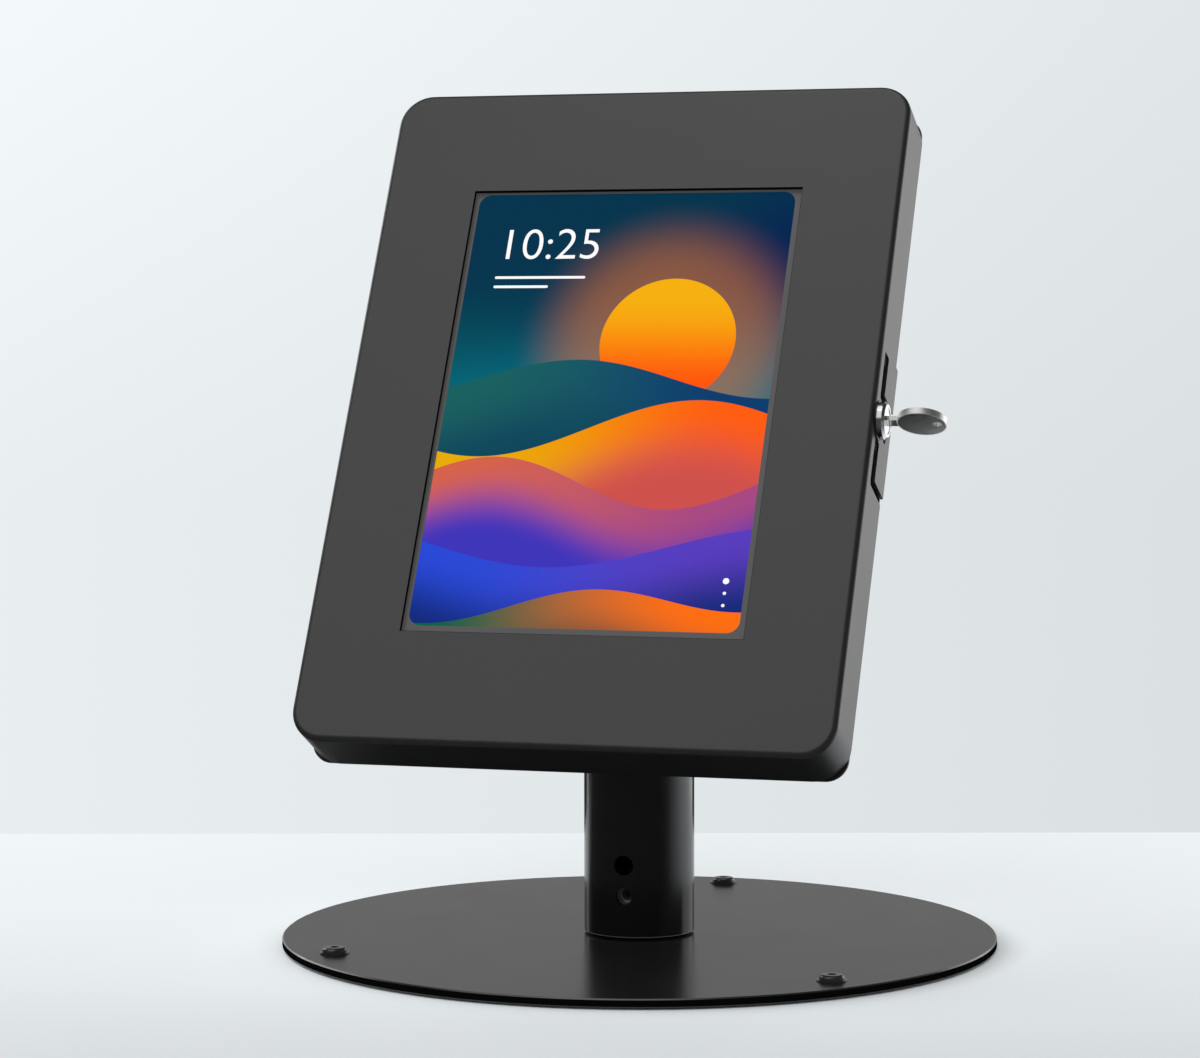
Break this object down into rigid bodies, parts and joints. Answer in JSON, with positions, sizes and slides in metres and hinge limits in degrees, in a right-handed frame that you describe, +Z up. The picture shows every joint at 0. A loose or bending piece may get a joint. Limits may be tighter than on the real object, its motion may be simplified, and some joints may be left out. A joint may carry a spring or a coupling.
{
  "type": "tablet security kiosk stand",
  "caption": "Counter-top stand that locks a tablet in a steel enclosure, which tilts and turns on a post with a round base; its cover slides up to open, and a key works the side lock.",
  "frame": {"origin": "on the surface that it stands on, under the middle of the base and of the post", "axes": "+Z up; the screen faces -Y and leans back towards +Y; +X is on the right of someone who looks at the screen, where the lock is"},
  "size_m": [0.345, 0.345, 0.4111],
  "materials": {
    "base_powder": "satin charcoal powder coat",
    "post_powder": "satin black powder coat",
    "cover_powder": "fine charcoal powder coat",
    "tray_powder": "matt dark powder coat",
    "black_screw": "black oxide steel",
    "foot_rubber": "matt rubber",
    "zinc_steel": "zinc plated",
    "bearing_plastic": "natural bearing plastic",
    "carrier_plastic": "black plastic sheet",
    "foam_rubber": "closed-cell foam",
    "tablet_aluminium": "bead blasted",
    "bezel_glass": "grey glass bezel",
    "screen_lit": "lit display",
    "washer_black": "black washer",
    "lock_chrome": "polished chrome",
    "key_nickel": "nickel plated"
  },
  "bodies": {
    "stand": {"base_plate": "base_powder", "base_feet": "foot_rubber", "base_screws": "black_screw", "foot_plug": "zinc_steel", "plug_bolts": "zinc_steel", "post_set_screw": "zinc_steel", "post_tube": "post_powder", "post_head": "post_powder", "head_screws": "black_screw", "tilt_bolt": "zinc_steel", "tilt_washers": "zinc_steel", "tilt_nut": "zinc_steel", "friction_washers": "bearing_plastic"},
    "tilt_head": {"head_block": "post_powder", "stop_pin": "zinc_steel", "thrust_washer": "bearing_plastic", "clamp_washer": "zinc_steel", "clamp_nut": "zinc_steel"},
    "enclosure": {"rotor_plate": "tray_powder", "rotor_screws": "zinc_steel", "back_tray": "tray_powder", "slide_pins": "black_screw", "catch_bracket": "zinc_steel", "catch_screws": "zinc_steel", "tablet_standoffs": "zinc_steel", "tablet_backer": "carrier_plastic", "backer_screws": "zinc_steel", "foam_pads": "foam_rubber", "edge_clips": "zinc_steel", "clip_screws": "zinc_steel", "tablet_case": "tablet_aluminium", "tablet_bezel": "bezel_glass", "tablet_screen": "screen_lit"},
    "cover": {"front_cover": "cover_powder", "lock_washer": "washer_black", "lock_body": "lock_chrome", "lock_nut": "zinc_steel"},
    "lock_rotor": {"lock_plug": "lock_chrome", "lock_cam": "zinc_steel", "cam_screw": "zinc_steel"},
    "key": {"key": "key_nickel"}
  },
  "joints": [
    {"name": "head_tilt", "type": "hinge", "parent": "stand", "child": "tilt_head", "pos_m": [0, 0, 0.2319], "axis": [-1, 0, 0], "range_deg": [-27.75, 42.25]},
    {"name": "enclosure_turn", "type": "hinge", "parent": "tilt_head", "child": "enclosure", "pos_m": [0, -0.02434, 0.2447], "axis": [0, -0.885, 0.4656], "range_deg": [0, 90]},
    {"name": "cover_slide", "type": "slide", "parent": "enclosure", "child": "cover", "axis": [0, 0.4656, 0.885], "range_m": [0, 0.019]},
    {"name": "lock_turn", "type": "hinge", "parent": "cover", "child": "lock_rotor", "pos_m": [0.1287, -0.04757, 0.25467], "axis": [1, 0, 0], "range_deg": [0, 90]},
    {"name": "key_pull", "type": "slide", "parent": "lock_rotor", "child": "key", "axis": [1, 0, 0], "range_m": [0, 0.02]}
  ]
}
